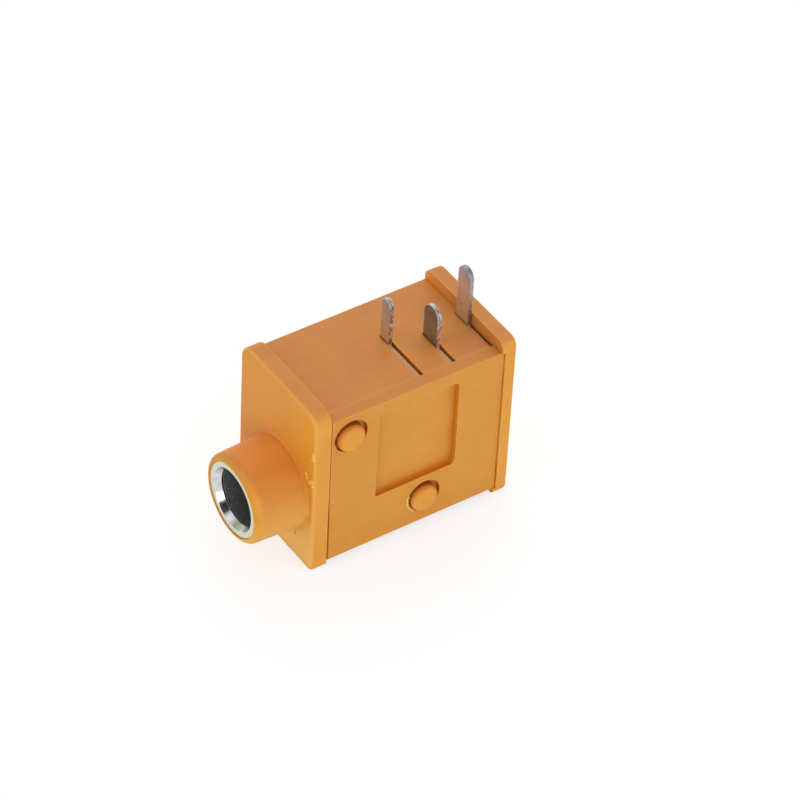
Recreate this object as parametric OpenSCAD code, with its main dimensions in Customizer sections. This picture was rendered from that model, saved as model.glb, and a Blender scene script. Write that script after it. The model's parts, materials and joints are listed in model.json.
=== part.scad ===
// A 3.5 mm phone jack for a circuit board, lying with its solder pins upwards.
// The origin is on the plug's axis, in the flange's front face: +Y runs into the jack,
// +Z towards the board, and +X towards the side that the cover closes.

/* [Body] */
// Width across the left wall and the cover
body_w = 7.9; // [7.4:0.1:9]
// Height from the underside to the board face
body_h = 10.8; // [10.2:0.1:12]
// Length from the flange's front face to the rear plate's back
body_l = 13.9; // [13.4:0.1:16]
// Plug axis to the cover's outer face
axis_to_side = 3.3; // [3.3:0.05:3.6]
// Plug axis above the body's underside
axis_height = 4.4; // [4:0.1:4.6]
// Radius of the long edges of the left wall
body_edge_r = 0.15; // [0.1:0.05:0.4]

/* [Walls] */
// Left wall
left_wall = 1; // [0.7:0.1:1.3]
// Top wall, on the board side
top_wall = 1.3; // [1.2:0.1:1.5]
// Height of the floor block's top below the plug axis
floor_drop = 0.6; // [0.4:0.1:0.9]
// Radius of the half-round plug channel in the floor block
channel_r = 1.9; // [1.85:0.05:2]
// Plug channel's end behind the flange's front face
channel_l = 11.2; // [10.9:0.1:11.6]

/* [Flange and rear plate] */
// Thickness of the front flange
flange_t = 1.1; // [0.9:0.1:1.3]
// Flange beyond the body's sides
flange_side = 0.04; // [0.04:0.02:0.2]
// Thickness of the rear plate
rear_t = 1; // [0.8:0.1:1.3]
// Rear plate beyond the body's sides
rear_side = 0.12; // [0.04:0.02:0.3]
// Standoff to the board: both plates above the board face
standoff = 0.75; // [0.4:0.05:1]
// Feet: both plates below the underside
foot_drop = 0.4; // [0.2:0.05:0.6]
// Radius of the flange's upper corners
flange_corner_r = 1; // [0.4:0.05:1.2]
// Radius of the rear plate's upper corners
rear_corner_r = 0.65; // [0.4:0.05:1]
// Radius of the lower corners of both
foot_corner_r = 0.3; // [0.3:0.05:0.5]
// Rounding round the flange's front face
flange_edge_r = 0.2; // [0.1:0.05:0.3]
// Rounding round the rear plate's back
rear_edge_r = 0.2; // [0.08:0.02:0.3]

/* [Nose] */
// Length of the nose in front of the flange
nose_l = 3.45; // [2.8:0.05:4.5]
// Diameter at the front, before the lip is rounded
nose_front_d = 5.65; // [5.65:0.05:5.85]
// Diameter where it meets the flange, before the fillet
nose_base_d = 5.9; // [5.85:0.05:6]
// Radius of the rounded front lip
lip_r = 0.4; // [0.3:0.05:0.5]
// Radius of the fillet at the flange
nose_fillet_r = 0.15; // [0.05:0.05:0.3]

/* [Bush] */
// Bore for the plug
bore_d = 3.6; // [3.55:0.05:3.7]
// Outer diameter
bush_d = 4.8; // [4.6:0.05:4.85]
// Rear end of the bush behind the flange's front face
bush_rear = 2.6; // [2.4:0.1:2.8]
// Diameter of the countersunk mouth
mouth_d = 4.1; // [3.9:0.05:4.3]
// Depth of the countersink
mouth_depth = 0.42; // [0.3:0.02:0.6]
// Bush set back from the nose's front
bush_setback = 0.05; // [0:0.05:0.2]

/* [Side cover] */
// Thickness
cover_t = 0.85; // [0.75:0.05:0.85]
// Gap at the flange
front_seam = 0.07; // [0.03:0.01:0.15]
// Gap at the rear plate
rear_seam = 0.03; // [0.03:0.01:0.15]
// Rear edge let into the rear plate
cover_lap = 0.2; // [0.1:0.05:0.4]
// Recess: front edge behind the flange's front face
recess_front = 4.4; // [4:0.1:4.8]
// Recess: rear edge behind the flange's front face
recess_rear = 10; // [9.4:0.1:10.8]
// Recess: lower edge above the underside
recess_low = 3.5; // [3.2:0.1:4.2]
// Recess: upper edge below the board face
recess_top = 0.9; // [0.6:0.1:1.5]
// Recess depth
recess_depth = 0.45; // [0.3:0.05:0.55]
// Radius of the recess's front corners
recess_front_r = 0.1; // [0.05:0.05:0.6]
// Radius of the recess's rear corners
recess_rear_r = 0.4; // [0.05:0.05:0.6]

/* [Posts] */
// Diameter of the two posts
post_d = 1.8; // [1.6:0.05:1.9]
// How far they stand out of the cover
post_proud = 0.44; // [0.3:0.02:0.5]
// Width of the rib that carries the upper post
rib_w = 1.4; // [1:0.1:1.6]
// Rib round the upper post
rib_wall = 0.25; // [0.15:0.05:0.4]
// Rounding of their ends
post_round_r = 0.3; // [0.1:0.02:0.4]
// Relief round them in the cover: width
relief_w = 0.12; // [0.08:0.01:0.15]
// Relief round them in the cover: depth
relief_depth = 0.3; // [0.2:0.05:0.4]
// Relief round them in the cover: how much wider towards the rear
relief_play = 0.2; // [0.05:0.05:0.3]
// Upper post: behind the flange's front face
upper_post_y = 2.4; // [2.4:0.05:2.6]
// Upper post: below the board face
upper_post_drop = 1.55; // [1.3:0.05:1.7]
// Lower post: behind the flange's front face
lower_post_y = 7.8; // [6.5:0.1:9]
// Lower post: above the underside
lower_post_z = 1.9; // [1.5:0.1:2.1]

/* [Terminals] */
// Thickness of the strip
strip_t = 0.3; // [0.25:0.05:0.4]
// Width of the leaves
leaf_w = 1.4; // [1:0.1:1.8]
// Width of a leaf at its free end
leaf_end_w = 1; // [0.8:0.1:1.2]
// Inside radius of the bends
bend_r = 0.3; // [0.2:0.05:0.4]
// Plate's top below the board face
plate_inset = 0.2; // [0.05:0.05:0.5]
// Plate's lower edge below the top wall
plate_drop = 0.2; // [0.1:0.05:0.3]
// Length of the tongue that holds a plate in its slot
tongue_l = 0.5; // [0.3:0.1:0.6]
// Height of that tongue
tongue_h = 0.5; // [0.3:0.1:0.6]
// Leaf's free end, past its contact point
leaf_curl = 0.7; // [0.6:0.05:0.8]
// Sleeve pin: behind the flange's front face
sleeve_pin_y = 7.8; // [7.7:0.1:8.2]
// Sleeve pin: right of the plug axis
sleeve_pin_x = -1.2; // [-1.5:0.1:-1]
// Sleeve pin: width
sleeve_pin_w = 0.85; // [0.8:0.05:1.3]
// Sleeve pin: length above the board face
sleeve_pin_l = 3.1; // [2.5:0.1:4]
// Ring pin: behind the flange's front face
ring_pin_y = 10.05; // [9.9:0.05:10.6]
// Ring pin: right of the plug axis
ring_pin_x = 0.2; // [-0.2:0.1:0.5]
// Ring pin: width
ring_pin_w = 1.4; // [0.8:0.1:1.5]
// Ring pin: length above the board face
ring_pin_l = 2.6; // [2.5:0.1:4]
// Sleeve contact: in front of the bush's rear end
sleeve_contact = 0.5; // [0.4:0.05:0.6]
// Ring contact: behind the flange's front face
ring_contact_y = 4.8; // [4.6:0.1:5.2]
// Tip pin: right of the plug axis
tip_pin_x = -0.4; // [-0.6:0.05:0]
// Tip pin: width
tip_pin_w = 1.2; // [0.8:0.05:1.5]
// Tip pin: length above the board face
tip_pin_l = 3.95; // [3:0.05:4.5]
// Tip contact: behind the flange's front face
tip_contact_y = 7.6; // [7.4:0.1:8]
// Straight neck of a leaf between its plate and its first bend
neck = 0.25; // [0.1:0.05:0.3]
// Tip leaf's middle above the bore
tip_rise = 0.8; // [0.75:0.05:0.85]

/* [Fits] */
// Bush in its seat
press_clear = 0.02; // [0.01:0.01:0.05]
// Posts in the cover's holes
post_clear = 0.03; // [0.03:0.01:0.06]
// Terminals in their slots
slot_clear = 0.05; // [0.03:0.01:0.08]
// Leaves off what they press on
contact_clear = 0.02; // [0.01:0.01:0.05]

/* [Hidden] */
$fn = 64;
// Overshoot of cutting shapes past the faces that they open
over = 0.2;
// Segments in the arc of a bend
bend_steps = 6;
orange = [0.85, 0.56, 0.22];
chrome = [0.8, 0.8, 0.78];
tin = [0.65, 0.58, 0.52];

// Outer faces of the body
x_side = axis_to_side;
x_left = x_side - body_w;
z_under = -axis_height;
z_board = z_under + body_h;
z_foot = z_under - foot_drop;
// Inner faces of the housing
x_cover = x_side - cover_t;
x_inner = x_left + left_wall;
y_rear = body_l - rear_t;
z_ceiling = z_board - top_wall;
z_floor = -floor_drop;
bore_r = bore_d / 2;
bush_r = bush_d / 2;
bush_front = -nose_l + bush_setback;
// Slots in the top wall
slot_w = strip_t + 2 * slot_clear;
tip_pin_y = y_rear - slot_clear - strip_t / 2;
// Terminals' plates: top under the board face, right edge just inside the cover
plate_top = z_board - plate_inset;
plate_right = x_cover - slot_clear;
plate_low = z_ceiling - plate_drop;
// Tongues half way up the part of the plates that is in the top wall
z_tongue = (z_ceiling + plate_top - tongue_h) / 2;
// Bend radius at the strip's middle
mid_r = bend_r + strip_t / 2;
// Middles of the three leaves: one over the bore, one under the plates, one half way between
tip_layer = bore_r + tip_rise;
sleeve_layer = plate_low - neck - mid_r;
ring_layer = (tip_layer + sleeve_layer) / 2;

// Extrudes a front view, in X and Z, from y0 to y1
module along_y(y0, y1) {
    translate([0, y1, 0]) rotate([90, 0, 0]) linear_extrude(y1 - y0) children();
}

// Extrudes a side view, in Y and Z, from x0 to x1
module along_x(x0, x1) {
    translate([x0, 0, 0]) rotate([90, 0, 90]) linear_extrude(x1 - x0) children();
}

module block(lo, hi) {
    translate(lo) cube(hi - lo);
}

// Rectangle from lo to hi; its corner radii run anticlockwise from the lower left
module rounded_rect(lo, hi, radii) {
    difference() {
        translate(lo) square(hi - lo);
        corner([lo.x, lo.y], [1, 1], radii[0]);
        corner([hi.x, lo.y], [-1, 1], radii[1]);
        corner([hi.x, hi.y], [-1, -1], radii[2]);
        corner([lo.x, hi.y], [1, -1], radii[3]);
    }
}

// What a rounded corner takes off: at a point, opening towards dir
module corner(at, dir, r) {
    centre = at + r * dir;
    difference() {
        translate(centre - (r + over) * [dir.x > 0 ? 1 : 0, dir.y > 0 ? 1 : 0]) square(r + over);
        translate(centre) circle(r);
    }
}

// Nose: drafted, with a rounded lip and a fillet at the flange
module nose() {
    lip_y = nose_l - lip_r;
    lip_centre = nose_front_d / 2 - lip_r;
    fillet_edge = nose_base_d / 2 + nose_fillet_r;
    rotate([90, 0, 0]) rotate_extrude() difference() {
        union() {
            polygon([[0, -flange_t / 2], [nose_base_d / 2, -flange_t / 2], [nose_base_d / 2, 0],
                     [fillet_edge, 0], [nose_base_d / 2, nose_fillet_r], [nose_front_d / 2, lip_y],
                     [lip_centre, nose_l], [0, nose_l]]);
            translate([lip_centre, lip_y]) circle(lip_r);
        }
        translate([fillet_edge, nose_fillet_r]) circle(nose_fillet_r);
    }
}

// Flange or rear plate: reaches past the body on every side. Its outer face is at y = 0, and it
// lies on the -Y side of that.
module end_plate(t, side, corner_r, edge_r) {
    lo = [x_left - side, z_foot];
    hi = [x_side + side, z_board + standoff];
    radii = [foot_corner_r, foot_corner_r, corner_r, corner_r];
    rotate([90, 0, 0]) difference() {
        linear_extrude(t) rounded_rect(lo, hi, radii);
        rim_rounding(lo, hi, radii, edge_r);
    }
}

// What a rounding of edge_r takes off round a plate's face at z = 0, for a rectangle as in rounded_rect
module rim_rounding(lo, hi, radii, edge_r) {
    corners = [lo, [hi.x, lo.y], hi, [lo.x, hi.y]];
    for (i = [0 : 3]) {
        r = radii[i];
        next = (i + 1) % 4;
        straight = norm(corners[next] - corners[i]) - r - radii[next];
        translate(corners[i]) rotate(90 * i) {
            along_x(r, r + straight) corner([0, 0], [1, 1], edge_r);
            translate([r, r]) rotate(180) rotate_extrude(angle = 90) corner([r, 0], [-1, 1], edge_r);
        }
    }
}

// Post from the middle of its rib to its domed end outside the cover
module post(y, z) {
    root = x_cover - rib_w / 2;
    height = x_side + post_proud - root;
    post_r = post_d / 2;
    translate([root, y, z]) rotate([0, 90, 0]) rotate_extrude() difference() {
        square([post_r, height]);
        corner([post_r, height], [-1, -1], post_round_r);
    }
}

// Slot through the top wall, open to the cover's side, with a pocket for the tongue at its end
module terminal_slot(y, pin_x, pin_w) {
    slot_end = pin_x - pin_w / 2 - slot_clear;
    block([slot_end, y - slot_w / 2, z_ceiling - over], [x_cover + over, y + slot_w / 2, z_board + over]);
    block([slot_end - tongue_l - slot_clear, y - slot_w / 2, z_tongue - slot_clear],
          [slot_end + over, y + slot_w / 2, z_tongue + tongue_h + slot_clear]);
}

module contact_chamber() {
    block([x_inner, flange_t, z_floor], [x_cover + over, y_rear, z_ceiling]);
    rotate([-90, 0, 0]) cylinder(r = channel_r, h = channel_l);
    terminal_slot(sleeve_pin_y, sleeve_pin_x, sleeve_pin_w);
    terminal_slot(ring_pin_y, ring_pin_x, ring_pin_w);
    terminal_slot(tip_pin_y, tip_pin_x, tip_pin_w);
}

module bush_seat() {
    translate([0, -nose_l - over, 0]) rotate([-90, 0, 0])
        cylinder(r = bush_r + press_clear, h = nose_l + over + bush_rear + press_clear);
}

module housing() {
    upper_post_z = z_board - upper_post_drop;
    rib_rear = upper_post_y + post_d / 2 + rib_wall;
    rib_low = upper_post_z - post_d / 2 - rib_wall;
    color(orange) difference() {
        union() {
            difference() {
                union() {
                    mirror([0, 1, 0]) end_plate(flange_t, flange_side, flange_corner_r, flange_edge_r);
                    along_y(flange_t / 2, body_l - rear_t / 2) difference() {
                        translate([x_left, z_under]) square([x_cover - x_left, body_h]);
                        corner([x_left, z_under], [1, 1], body_edge_r);
                        corner([x_left, z_board], [1, -1], body_edge_r);
                    }
                    translate([0, body_l, 0]) end_plate(rear_t, rear_side, rear_corner_r, rear_edge_r);
                    nose();
                }
                contact_chamber();
                block([x_cover, y_rear - over, z_under],
                      [x_side + rear_side + over, y_rear + cover_lap, z_board]);
            }
            block([x_cover - rib_w, flange_t / 2, rib_low], [x_cover, rib_rear, z_board - top_wall / 2]);
            post(upper_post_y, upper_post_z);
            post(lower_post_y, z_under + lower_post_z);
        }
        bush_seat();
    }
}

module side_cover() {
    hole_r = post_d / 2 + post_clear;
    relief_r = post_d / 2 + relief_w + relief_play / 2;
    color(orange) difference() {
        block([x_cover, flange_t + front_seam, z_under], [x_side, y_rear + cover_lap - rear_seam, z_board]);
        along_x(x_side - recess_depth, x_side + over)
            rounded_rect([recess_front, z_under + recess_low], [recess_rear, z_board - recess_top],
                         [recess_front_r, recess_rear_r, recess_rear_r, recess_front_r]);
        for (at = [[upper_post_y, z_board - upper_post_drop], [lower_post_y, z_under + lower_post_z]])
            translate([x_side, at.x, at.y]) rotate([0, 90, 0]) {
                translate([0, 0, -cover_t - over]) cylinder(r = hole_r, h = cover_t + 2 * over);
                translate([0, relief_play / 2, -relief_depth])
                    cylinder(r = relief_r, h = relief_depth + over);
            }
    }
}

module bush() {
    mouth_end = -bush_front - mouth_depth;
    color(chrome) rotate([90, 0, 0]) rotate_extrude()
        polygon([[bore_r, -bush_rear], [bush_r, -bush_rear], [bush_r, -bush_front],
                 [mouth_d / 2, -bush_front], [bore_r, mouth_end]]);
}

// Unit vector from a to b
function heading(a, b) = (b - a) / norm(b - a);

// Points of an arc of radius r that rounds the corner b between a and c
function bend(a, b, c, r) =
    let (u = heading(b, a), v = heading(b, c), half = acos(u * v) / 2,
         reach = r / tan(half), mid = (u + v) / norm(u + v), centre = b + mid * r / sin(half),
         from = b + u * reach - centre, to = b + v * reach - centre, sweep = acos(from * to / (r * r)),
         side = from.x * to.y - from.y * to.x > 0 ? 1 : -1)
    [for (i = [0 : bend_steps]) let (t = side * sweep * i / bend_steps)
        centre + [from.x * cos(t) - from.y * sin(t), from.x * sin(t) + from.y * cos(t)]];

// A path through points whose inner corners are rounded
function bent_path(p, r) =
    [p[0], for (i = [1 : len(p) - 2]) each bend(p[i - 1], p[i], p[i + 1], r), p[len(p) - 1]];

// Normal of a path at point i, stretched at corners so that the strip keeps its thickness
function path_normal(p, i) =
    let (u = heading(p[max(i - 1, 0)], p[max(i, 1)]),
         v = heading(p[min(i, len(p) - 2)], p[min(i + 1, len(p) - 1)]), m = (u + v) / norm(u + v))
    [-m.y, m.x] / (m * u);

// Side view of a bent strip of thickness t
module strip_profile(path, t) {
    last = len(path) - 1;
    left = [for (i = [0 : last]) path[i] + path_normal(path, i) * t / 2];
    right = [for (i = [last : -1 : 0]) path[i] - path_normal(path, i) * t / 2];
    polygon(concat(left, right));
}

// Pin with a round end, the plate in its slot with its tongue, and a leaf bent towards the nose.
// The leaf leaves the plate at a layer's height and dips at 45 degrees, both ways, to a rounded
// crest that touches a surface of height contact_z.
module terminal(y, pin_x, pin_w, length, layer, contact_y, contact_z) {
    pin_end = z_board + length;
    plate_left = pin_x - pin_w / 2;
    corner_z = contact_z + contact_clear + strip_t / 2 - (sqrt(2) - 1) * mid_r;
    path = bent_path([[y, plate_low], [y, layer], [contact_y + layer - corner_z, layer],
                      [contact_y, corner_z], [contact_y - leaf_curl, corner_z + leaf_curl]], mid_r);
    color(tin) {
        along_y(y - strip_t / 2, y + strip_t / 2) {
            translate([plate_left, plate_low]) square([plate_right - plate_left, plate_top - plate_low]);
            translate([plate_left - tongue_l, z_tongue]) square([tongue_l, tongue_h]);
            translate([plate_left, plate_top - strip_t])
                square([pin_w, pin_end - pin_w / 2 - plate_top + strip_t]);
            translate([pin_x, pin_end - pin_w / 2]) circle(d = pin_w);
        }
        intersection() {
            along_x(-leaf_w, leaf_w) strip_profile(path, strip_t);
            linear_extrude(z_board) leaf_plan(y, contact_y);
        }
    }
}

// Top view of a leaf: straight from its plate, then narrowing to its free end
module leaf_plan(y, contact_y) {
    free_end = contact_y - 2 * leaf_curl;
    polygon([[-leaf_w / 2, y + strip_t], [leaf_w / 2, y + strip_t], [leaf_end_w / 2, free_end],
             [-leaf_end_w / 2, free_end]]);
}

module sleeve_terminal() {
    contact_y = bush_rear - sleeve_contact;
    terminal(sleeve_pin_y, sleeve_pin_x, sleeve_pin_w, sleeve_pin_l, sleeve_layer, contact_y, bush_r);
}

module ring_terminal() {
    terminal(ring_pin_y, ring_pin_x, ring_pin_w, ring_pin_l, ring_layer, ring_contact_y, bore_r);
}

module tip_terminal() {
    terminal(tip_pin_y, tip_pin_x, tip_pin_w, tip_pin_l, tip_layer, tip_contact_y, bore_r);
}

housing();
side_cover();
bush();
sleeve_terminal();
ring_terminal();
tip_terminal();
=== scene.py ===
"""Looks, light and camera for a 3.5 mm phone jack that lies with its solder pins upwards.

Sizes are written in millimetres and turned into metres by MM; the frame is the part's own:
+Y runs into the jack, +Z towards the board and +X towards the side cover."""
import json
import math

import bmesh
import bpy
from mathutils import Matrix, Vector, noise


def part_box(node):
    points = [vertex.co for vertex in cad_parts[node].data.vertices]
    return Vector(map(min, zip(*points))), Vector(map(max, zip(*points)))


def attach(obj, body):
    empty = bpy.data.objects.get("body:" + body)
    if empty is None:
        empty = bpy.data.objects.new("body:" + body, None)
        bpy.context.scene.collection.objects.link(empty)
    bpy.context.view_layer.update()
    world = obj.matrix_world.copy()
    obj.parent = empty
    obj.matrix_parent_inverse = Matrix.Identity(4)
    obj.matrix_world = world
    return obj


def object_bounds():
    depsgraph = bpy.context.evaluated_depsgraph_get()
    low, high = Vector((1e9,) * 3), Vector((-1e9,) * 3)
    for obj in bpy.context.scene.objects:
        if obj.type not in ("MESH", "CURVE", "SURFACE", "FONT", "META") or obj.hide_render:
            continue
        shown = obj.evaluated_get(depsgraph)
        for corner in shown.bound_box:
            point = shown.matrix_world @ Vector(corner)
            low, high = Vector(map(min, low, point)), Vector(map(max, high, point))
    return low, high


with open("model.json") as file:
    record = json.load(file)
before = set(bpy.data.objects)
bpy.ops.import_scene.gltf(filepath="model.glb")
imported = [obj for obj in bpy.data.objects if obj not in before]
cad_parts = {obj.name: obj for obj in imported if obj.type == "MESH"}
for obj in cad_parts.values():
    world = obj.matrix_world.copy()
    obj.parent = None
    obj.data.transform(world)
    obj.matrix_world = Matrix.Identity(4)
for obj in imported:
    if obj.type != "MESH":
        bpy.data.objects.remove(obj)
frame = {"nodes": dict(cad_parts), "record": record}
cad_low, cad_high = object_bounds()

MM = 0.001
BODY = "root"
WHITE = (1, 1, 1)

# Places from the frame: the cover's outer face, upper end and seams, the front of the rear plate, which is
# 1 mm thick, and the bush's mouth and bore
cover_low, cover_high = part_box("side_cover")
RIGHT = cover_high.x
TOP = cover_high.z
FRONT_SEAM = cover_low.y
REAR_SEAM = cover_high.y
REAR_PLATE = cad_high.y - 1.0 * MM
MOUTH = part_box("bush")[0].y
BORE_R = next(m["dims"]["r_mm"] for m in frame["record"]["mounts"] if m["name"] == "plug_bore") * MM
# Recess in the cover: its lower wall in Z and its front wall in Y
RECESS_LOW = cover_low.z + 3.5 * MM
RECESS_FRONT = 4.4 * MM
# Posts: their radius, and their axes in Y and Z
POST_R = 0.9 * MM
POSTS = [(2.4 * MM, TOP - 1.55 * MM), (7.8 * MM, cover_low.z + 1.9 * MM)]

# Camera, as the photograph's own edges give it
IMAGE_PX = 800
SENSOR_MM = 36
FOCAL_PX = 4167.5
AZIMUTH = math.radians(54.073)
ELEVATION = math.radians(42.186)
ROLL = math.radians(3.243)
NEAR_CLIP = 10 * MM
FAR_CLIP = 10
# A point low on the flange's front face, its pixel and its distance along the view
AIM = Vector((-0.647, 0, -4.285)) * MM
AIM_PX = (273.928, 525.569)
AIM_DEPTH = 245.6 * MM

# Room: the light's strength at the horizon and overhead, and the heights of a direction between which it
# changes, where 0 is level and 1 straight up
HORIZON = 1.17
OVERHEAD = 0.64
HORIZON_END = 0.35
OVERHEAD_START = 0.62
# Spots in the room: azimuth and elevation of the middle, how far each is full and how far it reaches, all
# in degrees, and its colour
ROOM = {
    "grey-green wall at the front left": (-72, 24, 16, 26, (0.58, 0.66, 0.44)),
    "dark of a camera in front": (33, 42, 18, 22, (0.04, 0.04, 0.04)),
    "window at the back left": (-126, 42, 18, 32, (1.9, 1.9, 1.9)),
    "small ceiling light": (-25, 54, 6, 16, (1.7, 1.7, 1.7)),
}
# Lamp: watts, width and height, azimuth and elevation in degrees, and distance
LAMP_WATTS = 0.40
LAMP_SIZE = (480 * MM, 170 * MM)
LAMP_HEADING = (50, 15)
LAMP_DISTANCE = 400 * MM
# Floor: half its side, the share of light that it throws on the part, and the grey and glow that show
FLOOR_HALF = 600 * MM
FLOOR_BOUNCE = 0.90
FLOOR_GREY = 0.40
FLOOR_GLOW = 0.7

# Edge rounding of the solids, the steps in it, the least angle that is an edge, the most that is flat,
# and the distance at which two points are one
HOUSING_EDGE = 0.07 * MM
COVER_EDGE = 0.045 * MM
STRIP_EDGE = 0.035 * MM
BUSH_EDGE = 0.03 * MM
EDGE_STEPS = 3
EDGE_ANGLE = math.radians(25)
FLAT_ANGLE = math.radians(0.5)
SAME_POINT = 0.0005 * MM

# Plastic: its colours, linear
HOUSING_ORANGE = (0.780, 0.342, 0.048)
COVER_ORANGE = (0.695, 0.304, 0.043)
FLASH_ORANGE = (0.900, 0.470, 0.100)
# Its tints, as factors on red, green and blue
TINTS = {
    "dark_cloud": (0.97, 0.95, 0.90),
    "pale_cloud": (1.02, 1.03, 1.10),
    "streak": (0.95, 0.90, 0.80),
    "mottle": (0.95, 0.91, 0.85),
    # Partly dust, partly painted sheen on open faces that look up
    "dust_and_sheen": (0.90, 0.74, 1.32),
    # Painted light low on faces towards the plug, painted shade high on them
    "front_low_painted_light": (1.14, 1.56, 2.80),
    "front_high_left_painted_shade": (0.83, 0.81, 0.52),
    "front_high_right_painted_shade": (0.92, 0.91, 0.25),
    # Painted highlight on the flange's rounded front rim
    "rim": (1.07, 1.18, 1.60),
    # Painted light and shade round the nose
    "nose_left_painted_light": (1.13, 0.90, 1.02),
    "nose_upper_painted_shade": (0.94, 0.725, 0.79),
    "nose_right_painted_shade": (0.89, 0.80, 0.76),
    "nose_under_painted_light": (0.98, 1.07, 1.30),
    "speck": (0.40, 0.30, 0.30),
    "dirt": (0.42, 0.36, 0.60),
    # Painted shade in crevices
    "crevice_shade": (0.80, 0.46, 0.16),
    # Painted shade on the rear plate's step
    "step_left_shade": (0.95, 0.82, 1.15),
    "step_right_shade": (0.76, 0.64, 1.05),
    # Painted shade on the recess's lower wall
    "wall_inside_shade": (1.15, 0.98, 0.68),
    "wall_outside_shade": (0.82, 0.52, 0.10),
    # Painted highlight on open edges
    "edge_highlight": (1.08, 1.22, 2.00),
    # Painted shade along the front seam
    "seam_shade": (0.66, 0.38, 0.02),
    # Painted shade on the posts' sides and feet
    "post_side_shade": (0.88, 0.62, 0.60),
    "post_foot_shade": (0.45, 0.22, 0.10),
}
# Sizes of its clouds, flow streaks, mottle and grain, and the depth of its waves and grain
CLOUD = 2.4 * MM
STREAK = 1.1 * MM
MOTTLE = 0.25 * MM
GRAIN = 0.05 * MM
WAVE_DEPTH = 0.012 * MM
GRAIN_DEPTH = 0.002 * MM
# Reach of crevices, how strongly painted shade darkens them on the solids and on the flash, the width of
# the painted highlight on edges, and how far light goes under the skin
CREVICE_REACH = 0.5 * MM
CREVICE_SHADE = 0.9
FLASH_CREVICE_SHADE = 0.3
EDGE_HIGHLIGHT_WIDTH = 0.22 * MM
SCATTER = 0.35 * MM
# Stretches over which one tint of painted light or shade gives way to another: along X and Z on the front,
# along X on the rear step, and along Z, downwards, in the front seam
FRONT_X = (0.5 * MM, 2.8 * MM)
FRONT_Z = (-3.5 * MM, 0.5 * MM)
STEP_X = (-4 * MM, -1 * MM)
SEAM_SHADE_Z = (1.0 * MM, -1.5 * MM)
# Round the nose, from its upper left over its right side to below: X less Z in mm from which and to which
# a tint of painted light or shade takes over
NOSE = [(-2.9, -1.2, "nose_upper_painted_shade"), (-0.4, 1.2, "nose_right_painted_shade"), (1.2, 3.6, "nose_under_painted_light")]
# Stretch of the rear seam that keeps its painted shade: its middle in Z and half its length
OPEN_SEAM_Z = -3.1 * MM
OPEN_SEAM_HALF = 0.7 * MM
# Specks in the plastic, and dirt on the flange's front face: middle in mm, radius in mm and strength
SPECK_SPACING = 2.4 * MM
SPECK_R = 0.06 * MM
SPECK_STRENGTH = 0.7
DIRT = [((1.625, 0, -2.97), 0.13, 0.85), ((2.92, 0, -0.78), 0.30, 0.25)]

# Crumbs of mould flash at the flange's right edge: middle and half sizes in mm
FLASH = [
    ((2.54, 0.00, 2.52), (0.12, 0.06, 0.13)),
    ((2.64, 0.00, 2.22), (0.09, 0.04, 0.16)),
    ((2.90, 0.00, 2.10), (0.12, 0.05, 0.14)),
    ((3.12, 0.02, 2.32), (0.15, 0.07, 0.13)),
    ((3.12, 0.02, 1.98), (0.11, 0.07, 0.19)),
    ((3.20, 0.05, 4.44), (0.10, 0.09, 0.20)),
    ((3.20, 0.05, 4.08), (0.19, 0.09, 0.14)),
]
# A low ridge of it round the lower post's hole: radius, half sizes in mm, and the degrees it runs over
RIDGE = (1.06, (0.04, 0.075, 0.075), range(160, 240, 4))
# Lumps in a crumb, how far they stray, how much smaller each is than the one before and how ragged they
# are, as shares of the crumb's size, and the width in mm of the voxels that make one skin of them
CRUMB_LUMPS = 4
CRUMB_STRAY = 0.9
CRUMB_SHRINK = 0.15
CRUMB_RAGGED = 0.6
FLASH_VOXEL = 0.015

# Bush: colours of the plate, its stains, the rim, its smears, and of the painted shade in the bore and its
# specks
PLATE = (0.69, 0.69, 0.70, 1)
PLATE_STAIN = (0.58, 0.59, 0.58, 1)
RIM = (0.67, 0.68, 0.54, 1)
RIM_SMEAR = (0.58, 0.61, 0.46, 1)
BORE_SHADE = (0.100, 0.094, 0.092, 1)
BORE_SHADE_SPECK = (0.30, 0.30, 0.30, 1)
# Depth of the bright countersink, pitch and depth of the turning marks, size and depth of the stains, and
# sizes of the smears and specks
COUNTERSINK = 0.50 * MM
TURNING_PITCH = 0.06 * MM
TURNING_DEPTH = 0.0005 * MM
STAIN_SIZE = 0.5 * MM
STAIN_DEPTH = 0.010 * MM
SMEAR_SIZE = 0.16 * MM
BORE_SHADE_SPECK_SIZE = 0.07 * MM
# A distance too small to see, to be on the safe side of an edge
HAIR = 0.01 * MM

# Each terminal: how bright the tin still is on its faces, on its sheared edges and where those are torn
STRIPS = {
    "sleeve_terminal": (0.94, 0.84, 0.22),
    "ring_terminal": (0.52, 0.95, 0.31),
    "tip_terminal": (1.05, 0.46, 0.30),
}
# Colours of the tin, times its brightness
TIN = (0.74, 0.72, 0.72)
TARNISH = (0.57, 0.55, 0.54)
ROLLING_LINE = (0.42, 0.39, 0.37)
PIT = (0.30, 0.28, 0.27)
SHEARED = (1.0, 0.99, 0.98)
TORN = (1.0, 0.95, 0.91)
# Colours at the pins' ends, and the painted reflection, glint and shade in the slots
PIN_END = (0.20, 0.19, 0.185, 1)
SLOT_PAINTED_REFLECTION = (0.75, 0.42, 0.22, 1)
SLOT_PAINTED_GLINT = (0.90, 0.70, 0.50, 1)
SLOT_PAINTED_SHADE = (0.09, 0.06, 0.045, 1)
# How far down the slots these colours go
SLOT_DEPTH = 1.3 * MM
# Width and depth of the rolling lines, and sizes of the tarnish, the pits and the tears
ROLLING_WIDTH = 0.05 * MM
ROLLING_DEPTH = 0.003 * MM
TARNISH_SIZE = 0.6 * MM
PIT_SIZE = 0.09 * MM
TEAR_SIZE = 0.14 * MM


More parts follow.
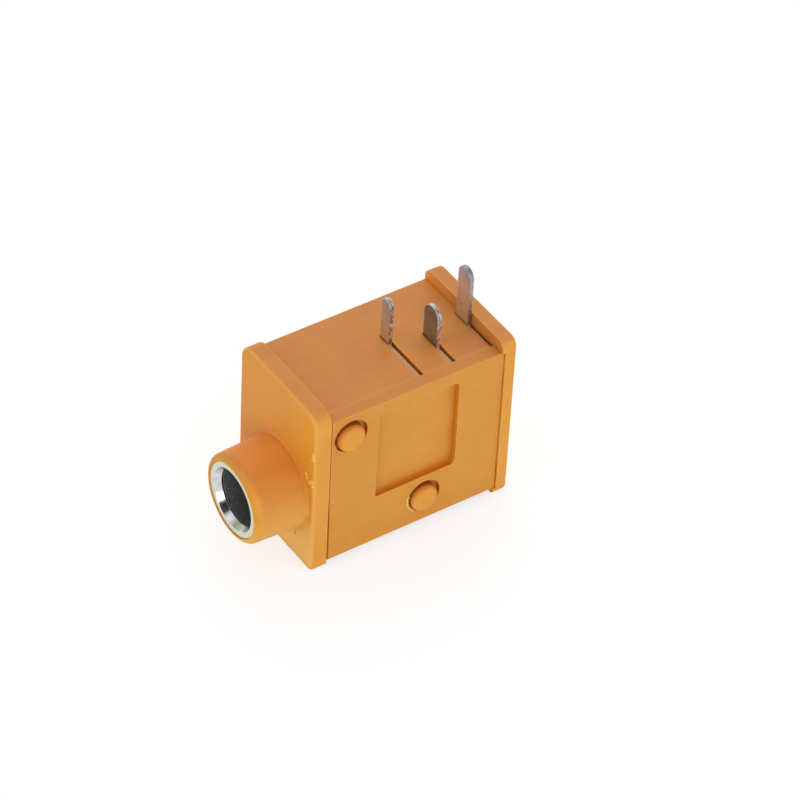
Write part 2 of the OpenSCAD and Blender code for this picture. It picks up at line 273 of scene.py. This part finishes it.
class Nodes:
    """A node tree of one material or of the world, with short calls to add to it."""

    def __init__(self, owner):
        owner.use_nodes = True
        self.tree = owner.node_tree
        self.tree.nodes.clear()

    def add(self, kind, inputs=None, **settings):
        """Adds a node; inputs are numbers, colours or other nodes' sockets, by input name or index."""
        node = self.tree.nodes.new(kind)
        for name, value in settings.items():
            setattr(node, name, value)
        for key, value in (inputs or {}).items():
            self.feed(node.inputs[key], value)
        return node

    def feed(self, socket, value):
        if isinstance(value, bpy.types.NodeSocket):
            self.tree.links.new(value, socket)
        else:
            socket.default_value = value

    def show(self, shader, output="ShaderNodeOutputMaterial"):
        """Makes a shader the surface of the material, or of the world with its own kind of output."""
        self.add(output, {"Surface": shader.outputs[0]})

    def math(self, operation, a, b=0.0, c=0.0):
        return self.add("ShaderNodeMath", {0: a, 1: b, 2: c}, operation=operation).outputs[0]

    def product(self, value, *factors):
        for factor in factors:
            value = self.math("MULTIPLY", value, factor)
        return value

    def without(self, mask):
        """1 less a mask."""
        return self.math("SUBTRACT", 1.0, mask)

    def near(self, value, middle, reach):
        """1 where a value is within reach of a middle, and 0 elsewhere."""
        return self.math("COMPARE", value, middle, reach)

    def ramp(self, value, low, high, to_low=0.0, to_high=1.0):
        """Maps low..high of a value to to_low..to_high, and holds it beyond."""
        return self.add("ShaderNodeMapRange", {0: value, 1: low, 2: high, 3: to_low, 4: to_high},
                        clamp=True).outputs[0]

    def split(self, vector):
        """The X, Y and Z of a vector."""
        return self.add("ShaderNodeSeparateXYZ", {0: vector}).outputs

    def vector(self, operation, a, b=(0, 0, 0), output="Vector"):
        return self.add("ShaderNodeVectorMath", {0: a, 1: b}, operation=operation).outputs[output]

    def dot(self, a, b):
        return self.vector("DOT_PRODUCT", a, b, "Value")

    def mix(self, factor, a, b):
        """Colour a where a factor is 0, and b where it is 1."""
        node = self.add("ShaderNodeMix", data_type="RGBA")
        for socket, value in zip((node.inputs[0], node.inputs[6], node.inputs[7]), (factor, a, b)):
            self.feed(socket, value)
        return node.outputs[2]


class Surface(Nodes):
    """A new material: its nodes, the place on the part in metres, and a colour painted layer by layer."""

    def __init__(self, name):
        self.material = bpy.data.materials.new(name)
        super().__init__(self.material)
        self.place = self.add("ShaderNodeTexCoord").outputs["Object"]
        self.x, self.y, self.z = self.split(self.place)
        self.colour = None

    def scaled(self, sizes):
        """The place, measured in these sizes along X, Y and Z."""
        scale = [1 / size for size in sizes]
        return self.add("ShaderNodeMapping", {"Vector": self.place, "Scale": scale}).outputs[0]

    def noise(self, size, detail=2.0, rough=0.5, stretch=(1, 1, 1)):
        """Noise whose features are about size across, times stretch along X, Y and Z."""
        place = self.scaled([size * s for s in stretch])
        return self.add("ShaderNodeTexNoise", {"Vector": place, "Scale": 1.0, "Detail": detail,
                                               "Roughness": rough}).outputs["Fac"]

    def specks(self, spacing, radius):
        """1 in round specks of a radius, scattered about a spacing apart, and 0 elsewhere."""
        cells = self.add("ShaderNodeTexVoronoi", {"Vector": self.scaled([spacing] * 3), "Scale": 1.0})
        return self.ramp(cells.outputs["Distance"], radius / spacing, 0.6 * radius / spacing)

    def bump(self, height, depth, normal=None):
        inputs = {"Strength": 1.0, "Distance": depth, "Height": height}
        if normal is not None:
            inputs["Normal"] = normal
        return self.add("ShaderNodeBump", inputs).outputs[0]

    def paint(self, mask, colour):
        """Lays a colour over what is there, as strongly as a mask says."""
        self.colour = self.mix(mask, self.colour, colour)

    def finish(self, inputs):
        """Ends the material with its colour and the shader's other inputs."""
        self.show(self.add("ShaderNodeBsdfPrincipled", {"Base Color": self.colour, **inputs}))
        return self.material


def shade(colour, red, green=None, blue=None):
    """A colour times one factor, or times one for each channel."""
    factors = (red, red if green is None else green, red if blue is None else blue)
    return tuple(c * f for c, f in zip(colour, factors)) + (1,)


class Plastic(Surface):
    """Satin moulded plastic. Each paint method lays one thing over what is there."""

    def __init__(self, name, orange):
        super().__init__(name)
        self.orange = orange
        self.facing = self.add("ShaderNodeNewGeometry").outputs["True Normal"]
        self.right, self.back, self.up = self.split(self.facing)
        self.clouds = self.noise(CLOUD, detail=4)
        self.flow = self.noise(STREAK, detail=3, stretch=(1, 3, 1))
        self.mottle = self.noise(MOTTLE)
        self.openness = self.add("ShaderNodeAmbientOcclusion", {"Distance": CREVICE_REACH},
                                 samples=8).outputs["AO"]

    def tint(self, name):
        return shade(self.orange, *TINTS[name])

    def blend(self, factor, first, second):
        """From one tint to another."""
        return self.mix(factor, self.tint(first), self.tint(second))

    def paint_clouds(self):
        self.colour = self.blend(self.ramp(self.clouds, 0.35, 0.65), "dark_cloud", "pale_cloud")
        self.paint(self.ramp(self.flow, 0.5, 0.75, 0, 0.3), self.tint("streak"))
        self.paint(self.ramp(self.mottle, 0.35, 0.7, 0, 0.25), self.tint("mottle"))

    def paint_dust_and_sheen(self):
        """Open faces that look up are hazier, in patches, and alike on all pieces: partly dust, partly
        painted sheen.
        """
        patches = self.ramp(self.flow, 0.35, 0.65, 1.0, 0.6)
        dust_and_sheen = self.product(self.ramp(self.up, 0.6, 0.95), patches, self.ramp(self.openness, 0.75, 0.95))
        self.paint(dust_and_sheen, shade(HOUSING_ORANGE, *TINTS["dust_and_sheen"]))

    def paint_front_light_and_shade(self):
        """Faces towards the plug get painted light low down and painted shade high up, but for the rear
        plate's.
        """
        to_plug = self.product(self.ramp(self.back, -0.3, -0.9),
                               self.ramp(self.y, REAR_PLATE - 0.4 * MM, REAR_PLATE - 0.9 * MM))
        high = self.blend(self.ramp(self.x, *FRONT_X), "front_high_left_painted_shade", "front_high_right_painted_shade")
        front = self.mix(self.ramp(self.z, *FRONT_Z), self.tint("front_low_painted_light"), high)
        self.paint(to_plug, front)

    def paint_rim_highlight(self):
        """The rounded rim of the flange's front face gets a pale painted highlight."""
        tilted = self.product(self.ramp(self.back, -0.98, -0.85), self.ramp(self.back, -0.05, -0.3))
        rim = self.product(tilted, self.near(self.y, 0.1 * MM, 0.12 * MM), 0.7)
        self.paint(rim, self.tint("rim"))

    def paint_nose_light_and_shade(self):
        """The nose, up to its rounded front edge, gets painted light and shade: redder and shaded above,
        paler and lit from below.
        """
        on_nose = self.product(self.ramp(self.y, 0.02 * MM, -0.05 * MM),
                               self.ramp(self.y, MOUTH + 0.2 * MM, MOUTH + 0.65 * MM))
        around = self.math("SUBTRACT", self.x, self.z)
        nose = self.tint("nose_left_painted_light")
        for start, end, tint in NOSE:
            nose = self.mix(self.ramp(around, start * MM, end * MM), nose, self.tint(tint))
        self.paint(on_nose, nose)

    def paint_dirt(self):
        specks = self.specks(SPECK_SPACING, SPECK_R)
        self.paint(self.product(specks, SPECK_STRENGTH), self.tint("speck"))
        for middle, radius, strength in DIRT:
            off = self.vector("DISTANCE", self.place, [c * MM for c in middle], "Value")
            self.paint(self.ramp(off, radius * MM, 0.4 * radius * MM, 0, strength), self.tint("dirt"))

    def paint_crevice_shade(self, strength):
        """Crevices get painted shade, less so in faces to the right. The rear seam is tight and gets
        little of it, but for a stretch low down."""
        at_seam = self.product(self.near(self.y, REAR_SEAM - 0.02 * MM, 0.18 * MM),
                               self.ramp(self.x, RIGHT - 0.3 * MM, RIGHT - 0.1 * MM))
        off = self.math("ABSOLUTE", self.math("SUBTRACT", self.z, OPEN_SEAM_Z))
        tight = self.product(at_seam, self.ramp(off, OPEN_SEAM_HALF, OPEN_SEAM_HALF + 0.2 * MM, 0.0, 0.85))
        shade_in_crevices = self.product(self.ramp(self.openness, 0.35, 0.92, strength, 0),
                            self.ramp(self.right, 0.95, 0.6, 0.4, 1.0), self.without(tight))
        self.paint(shade_in_crevices, self.tint("crevice_shade"))

    def paint_step_shade(self):
        """The rear plate's step above the top wall gets painted shade, most at the right."""
        on_step = self.product(self.ramp(self.z, TOP - 0.04 * MM, TOP + 0.02 * MM),
                               self.ramp(self.y, REAR_PLATE - 0.25 * MM, REAR_PLATE - 0.1 * MM),
                               self.ramp(self.back, -0.3, -0.8))
        self.paint(on_step, self.blend(self.ramp(self.x, *STEP_X), "step_left_shade", "step_right_shade"))

    def paint_recess_shade(self):
        """The recess's lower wall gets painted shade, deeper in colour towards its outer edge."""
        on_wall = self.product(self.near(self.z, RECESS_LOW, 0.12 * MM), self.ramp(self.up, 0.5, 0.9),
                               self.ramp(self.y, RECESS_FRONT - 0.4 * MM, RECESS_FRONT - 0.2 * MM))
        outwards = self.ramp(self.x, RIGHT - 0.43 * MM, RIGHT - 0.08 * MM)
        self.paint(on_wall, self.blend(outwards, "wall_inside_shade", "wall_outside_shade"))

    def paint_edge_highlight(self):
        """Open edges get a pale painted highlight, in patches."""
        rounded = self.add("ShaderNodeBevel", {"Radius": EDGE_HIGHLIGHT_WIDTH}, samples=6).outputs[0]
        edge = self.ramp(self.dot(rounded, self.facing), 0.985, 0.88)
        patches = self.ramp(self.mottle, 0.3, 0.6, 0.35, 0.65)
        self.paint(self.product(edge, self.ramp(self.openness, 0.82, 0.94), patches), self.tint("edge_highlight"))

    def paint_front_seam_shade(self):
        """The front seam gets painted shade low down."""
        seam_shade = self.product(self.near(self.y, FRONT_SEAM - 0.01 * MM, 0.08 * MM),
                              self.ramp(self.x, RIGHT - 0.2 * MM, RIGHT - 0.1 * MM),
                              self.ramp(self.z, *SEAM_SHADE_Z, 0, 0.9))
        self.paint(seam_shade, self.tint("seam_shade"))

    def paint_post_shade(self, post_y, post_z):
        """A post gets painted shade: redder on its side and dark at its foot."""
        away = self.vector("SUBTRACT", self.place, (0, post_y, post_z))
        away = self.vector("MULTIPLY", away, (0, 1, 1))
        away = self.vector("LENGTH", away, output="Value")
        on_post = self.product(self.ramp(away, POST_R + 0.04 * MM, POST_R + 0.02 * MM),
                               self.ramp(self.x, RIGHT - 0.4 * MM, RIGHT - 0.3 * MM))
        self.paint(self.product(on_post, self.ramp(self.right, 0.9, 0.35, 0, 0.8)), self.tint("post_side_shade"))
        foot = self.ramp(self.x, RIGHT + 0.14 * MM, RIGHT + 0.04 * MM, 0, 0.85)
        self.paint(self.product(on_post, foot), self.tint("post_foot_shade"))


def orange_plastic(name, orange, posts=(), crevice_shade=CREVICE_SHADE):
    """Satin moulded plastic of one piece, with the posts that it carries."""
    plastic = Plastic(name, orange)
    plastic.paint_clouds()
    plastic.paint_dust_and_sheen()
    plastic.paint_front_light_and_shade()
    plastic.paint_rim_highlight()
    plastic.paint_nose_light_and_shade()
    plastic.paint_dirt()
    plastic.paint_crevice_shade(crevice_shade)
    plastic.paint_step_shade()
    plastic.paint_recess_shade()
    plastic.paint_edge_highlight()
    plastic.paint_front_seam_shade()
    for post_y, post_z in posts:
        plastic.paint_post_shade(post_y, post_z)
    grain = plastic.bump(plastic.noise(GRAIN), GRAIN_DEPTH)
    return plastic.finish({
        "Roughness": plastic.ramp(plastic.mottle, 0.3, 0.7, 0.50, 0.60),
        "Normal": plastic.bump(plastic.clouds, WAVE_DEPTH, grain), "IOR": 1.5, "Specular IOR Level": 0.28,
        "Subsurface Weight": 0.12, "Subsurface Radius": (1.0, 0.35, 0.08), "Subsurface Scale": SCATTER})


def bush_plating():
    """Bright plate with turning marks, a duller rim, and painted shade in the bore behind the countersunk
    mouth: nearly black, rough and hardly metallic.
    """
    plate = Surface("bright_plate")
    squares = plate.math("MULTIPLY_ADD", plate.x, plate.x, plate.product(plate.z, plate.z))
    radius = plate.math("SQRT", squares)
    bore_front = MOUTH + COUNTERSINK
    in_bore = plate.product(plate.math("LESS_THAN", radius, BORE_R + HAIR),
                            plate.ramp(plate.y, bore_front, bore_front + 0.08 * MM))
    on_rim = plate.math("LESS_THAN", plate.y, MOUTH + HAIR)
    stain = plate.noise(STAIN_SIZE, detail=4)
    smear = plate.noise(SMEAR_SIZE, detail=3)
    specks = plate.noise(BORE_SHADE_SPECK_SIZE, detail=1)
    plate.colour = plate.mix(plate.ramp(stain, 0.4, 0.7), PLATE, PLATE_STAIN)
    plate.paint(on_rim, plate.mix(plate.ramp(smear, 0.35, 0.7), RIM, RIM_SMEAR))
    # Painted shade: the bore is nearly black, with specks, and below it rough and hardly metallic
    plate.paint(in_bore, plate.mix(plate.ramp(specks, 0.66, 0.72), BORE_SHADE, BORE_SHADE_SPECK))
    dullness = plate.math("MULTIPLY_ADD", on_rim, 0.12, plate.ramp(stain, 0.3, 0.7, 0.10, 0.20))
    turns = plate.product(plate.math("SUBTRACT", plate.y, radius), 2 * math.pi / TURNING_PITCH)
    turning = plate.bump(plate.math("SINE", turns), TURNING_DEPTH)
    return plate.finish({
        "Metallic": plate.without(plate.product(in_bore, 0.9)),
        "Roughness": plate.math("MULTIPLY_ADD", in_bore, 0.45, dullness),
        "Normal": plate.bump(stain, STAIN_DEPTH, turning)})


def paint_slot_light_and_shade(tin, strip_back, painted_glints):
    """In its slot a strip gets a painted reflection, tan with a painted glint, and painted shade, nearly
    black, towards its rear face. Returns where that is.
    """
    in_slot = tin.product(tin.ramp(tin.z, TOP, TOP - 0.08 * MM),
                          tin.ramp(tin.z, TOP - SLOT_DEPTH - 0.2 * MM, TOP - SLOT_DEPTH))
    tan = tin.mix(painted_glints, SLOT_PAINTED_REFLECTION, SLOT_PAINTED_GLINT)
    at_back = tin.ramp(tin.y, strip_back - 0.07 * MM, strip_back - 0.05 * MM)
    tin.paint(in_slot, tin.mix(at_back, tan, SLOT_PAINTED_SHADE))
    return in_slot


def tinned_strip(name):
    """Dull tin on rolled strip: rolling lines along the pins, cloudy tarnish and small pits, torn on the
    sheared edges and darker at the pin's end; painted reflection, glint and shade in its slot."""
    tone, edge_tone, torn_tone = STRIPS[name]
    strip_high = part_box(name)[1]
    tin = Surface("tin_" + name)
    normal = tin.add("ShaderNodeNewGeometry").outputs["Normal"]
    along_y = tin.math("ABSOLUTE", tin.split(normal)[1])
    lines = tin.noise(ROLLING_WIDTH, stretch=(1, 1, 20))
    tarnish = tin.noise(TARNISH_SIZE, detail=5)
    pits = tin.noise(PIT_SIZE)
    torn = tin.noise(TEAR_SIZE, detail=3, rough=0.65, stretch=(1, 1, 2))
    tin.colour = tin.mix(tin.ramp(tarnish, 0.35, 0.7), shade(TIN, tone), shade(TARNISH, tone))
    tin.paint(tin.ramp(lines, 0.5, 0.8, 0, 0.5), shade(ROLLING_LINE, tone))
    tin.paint(tin.ramp(pits, 0.62, 0.72, 0, 0.6), shade(PIT, tone))
    edge = tin.mix(tin.ramp(torn, 0.42, 0.58), shade(SHEARED, edge_tone), shade(TORN, torn_tone))
    tin.paint(tin.ramp(along_y, 0.75, 0.4), edge)
    at_end = tin.ramp(tin.z, strip_high.z - 1.4 * MM, strip_high.z - 0.3 * MM, 0, 0.42)
    tin.paint(at_end, PIN_END)
    # Painted reflection, glint and shade on the strip in its slot, where it is not metallic
    in_slot = paint_slot_light_and_shade(tin, strip_high.y, tin.ramp(pits, 0.60, 0.66))
    return tin.finish({
        "Metallic": tin.without(in_slot), "Roughness": tin.ramp(tarnish, 0.3, 0.7, 0.36, 0.50),
        "Normal": tin.bump(lines, ROLLING_DEPTH)})


def dress(node_name, material, edge):
    """Gives a solid its material and rounds its edges."""
    piece = frame["nodes"][node_name]
    piece.data.materials.clear()
    piece.data.materials.append(material)
    weld = piece.modifiers.new("weld", "WELD")
    weld.merge_threshold = SAME_POINT
    flat = piece.modifiers.new("flat_faces", "DECIMATE")
    flat.decimate_type = "DISSOLVE"
    flat.angle_limit = FLAT_ANGLE
    rounding = piece.modifiers.new("edges", "BEVEL")
    rounding.width = edge
    rounding.segments = EDGE_STEPS
    rounding.limit_method = "ANGLE"
    rounding.angle_limit = EDGE_ANGLE
    rounding.use_clamp_overlap = True
    rounding.face_strength_mode = "FSTR_ALL"
    close = piece.modifiers.new("close", "WELD")
    close.merge_threshold = SAME_POINT
    normals = piece.modifiers.new("normals", "WEIGHTED_NORMAL")
    normals.mode = "CORNER_ANGLE"
    normals.use_face_influence = True


def link(name, data):
    """Adds an object to the scene."""
    thing = bpy.data.objects.new(name, data)
    bpy.context.scene.collection.objects.link(thing)
    return thing


def one_skin(lumps, voxel):
    """A closed skin round lumps that overlap, as fine as a voxel."""
    holder = link("lumps", lumps)
    skin = holder.modifiers.new("skin", "REMESH")
    skin.mode = "VOXEL"
    skin.voxel_size = voxel
    close = holder.modifiers.new("close", "WELD")
    close.merge_threshold = 0.05 * voxel
    data = bpy.data.meshes.new_from_object(holder.evaluated_get(bpy.context.evaluated_depsgraph_get()))
    bpy.data.objects.remove(holder)
    bpy.data.meshes.remove(lumps)
    return data


def add_crumb(mesh, middle, half):
    """Adds a crumb's ragged lumps to a mesh, all in mm. Each lump and axis takes its noise elsewhere."""
    for lump in range(CRUMB_LUMPS):
        shift = [noise.noise(Vector(middle) * 9 + Vector((5 * lump, 7 * axis, 0))) for axis in range(3)]
        place = Vector(m + CRUMB_STRAY * h * s for m, h, s in zip(middle, half, shift))
        size = [h * (1 - CRUMB_SHRINK * lump) for h in half]
        ball = bmesh.ops.create_icosphere(mesh, subdivisions=3, radius=1)
        for vertex in ball["verts"]:
            swell = 1 + CRUMB_RAGGED * noise.noise(vertex.co * 2.2 + place * 7)
            vertex.co = place + Vector(s * c for s, c in zip(size, vertex.co)) * swell


def make_flash(material):
    """Small ragged crumbs of plastic that the mould left at the flange's edge and at the lower post."""
    mesh = bmesh.new()
    radius, ridge_half, degrees = RIDGE
    ridge_x, post_y, post_z = (c / MM for c in (RIGHT, *POSTS[1]))
    ridge = [((ridge_x, post_y + radius * math.cos(a), post_z + radius * math.sin(a)), ridge_half)
             for a in map(math.radians, degrees)]
    for middle, half in FLASH + ridge:
        add_crumb(mesh, middle, half)
    lumps = bpy.data.meshes.new("lumps")
    mesh.to_mesh(lumps)
    mesh.free()
    data = one_skin(lumps, FLASH_VOXEL)
    data.name = "mould_flash"
    data.transform(Matrix.Scale(MM, 4))
    data.shade_smooth()
    data.materials.append(material)
    piece = link("mould_flash", data)
    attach(piece, BODY)


def make_camera():
    """The photograph's camera: its axes from the three angles, and its place from the aim point."""
    back = Vector((math.sin(AZIMUTH) * math.cos(ELEVATION), -math.cos(AZIMUTH) * math.cos(ELEVATION),
                   math.sin(ELEVATION)))
    level = Vector((math.cos(AZIMUTH), math.sin(AZIMUTH), 0))
    upright = back.cross(level)
    right = math.cos(ROLL) * level + math.sin(ROLL) * upright
    up = -math.sin(ROLL) * level + math.cos(ROLL) * upright
    data = bpy.data.cameras.new("camera")
    data.sensor_width = SENSOR_MM
    data.lens = FOCAL_PX * SENSOR_MM / IMAGE_PX
    data.clip_start = NEAR_CLIP
    data.clip_end = FAR_CLIP
    camera = link("camera", data)
    across, down = ((px - IMAGE_PX / 2) * AIM_DEPTH / FOCAL_PX for px in AIM_PX)
    place = AIM + back * AIM_DEPTH - right * across + up * down
    camera.matrix_world = Matrix.Translation(place) @ Matrix((right, up, back)).transposed().to_4x4()
    bpy.context.scene.camera = camera


def floor_white():
    """White to the camera and in reflections, with a soft shadow; to other light a plain pale face."""
    material = bpy.data.materials.new("floor")
    nodes = Nodes(material)
    path = nodes.add("ShaderNodeLightPath").outputs
    seen = nodes.math("MAXIMUM", path["Is Camera Ray"],
                      nodes.math("MAXIMUM", path["Is Glossy Ray"], path["Is Transmission Ray"]))
    bounce = nodes.add("ShaderNodeBsdfDiffuse", {"Color": shade(WHITE, FLOOR_BOUNCE)})
    shadowed = nodes.add("ShaderNodeBsdfDiffuse", {"Color": shade(WHITE, FLOOR_GREY)})
    glow = nodes.add("ShaderNodeEmission", {"Color": shade(WHITE, 1), "Strength": FLOOR_GLOW})
    shown = nodes.add("ShaderNodeAddShader", {0: shadowed.outputs[0], 1: glow.outputs[0]})
    nodes.show(nodes.add("ShaderNodeMixShader", {0: seen, 1: bounce.outputs[0], 2: shown.outputs[0]}))
    return material


def make_floor(height):
    half = FLOOR_HALF
    mesh = bpy.data.meshes.new("floor")
    corners = [(-half, -half, height), (half, -half, height), (half, half, height), (-half, half, height)]
    mesh.from_pydata(corners, [], [(0, 1, 2, 3)])
    mesh.materials.append(floor_white())
    link("floor", mesh)


def heading(azimuth, elevation):
    """The direction to an azimuth, turned from -Y towards +X, and an elevation, in degrees."""
    a, e = math.radians(azimuth), math.radians(elevation)
    return Vector((math.sin(a) * math.cos(e), -math.cos(a) * math.cos(e), math.sin(e)))


def make_room():
    """A soft room: bright round the horizon and dimmer overhead, with its spots."""
    world = bpy.data.worlds.new("studio")
    bpy.context.scene.world = world
    nodes = Nodes(world)
    toward = nodes.add("ShaderNodeTexCoord").outputs["Generated"]
    level = nodes.ramp(nodes.split(toward)[2], HORIZON_END, OVERHEAD_START, HORIZON, OVERHEAD)
    sky = shade(WHITE, 1)
    for azimuth, elevation, full, reach, colour in ROOM.values():
        closeness = nodes.dot(toward, heading(azimuth, elevation))
        spot = nodes.ramp(closeness, math.cos(math.radians(reach)), math.cos(math.radians(full)))
        sky = nodes.mix(spot, sky, shade(colour, 1))
    background = nodes.add("ShaderNodeBackground", {"Color": sky, "Strength": level})
    nodes.show(background, "ShaderNodeOutputWorld")


def make_lamp():
    """One broad weak lamp."""
    lamp = bpy.data.lights.new("front_lamp", "AREA")
    lamp.shape = "RECTANGLE"
    lamp.size, lamp.size_y = LAMP_SIZE
    lamp.energy = LAMP_WATTS
    holder = link("front_lamp", lamp)
    towards = heading(*LAMP_HEADING)
    holder.location = towards * LAMP_DISTANCE
    holder.rotation_mode = "QUATERNION"
    holder.rotation_quaternion = towards.to_track_quat("Z", "Y")


bpy.context.scene.view_settings.view_transform = "Standard"
make_camera()
make_floor(cad_low.z)
make_room()
make_lamp()
dress("housing", orange_plastic("housing_orange", HOUSING_ORANGE, POSTS), HOUSING_EDGE)
dress("side_cover", orange_plastic("cover_orange", COVER_ORANGE), COVER_EDGE)
make_flash(orange_plastic("flash_orange", FLASH_ORANGE, crevice_shade=FLASH_CREVICE_SHADE))
for name in STRIPS:
    dress(name, tinned_strip(name), STRIP_EDGE)
dress("bush", bush_plating(), BUSH_EDGE)
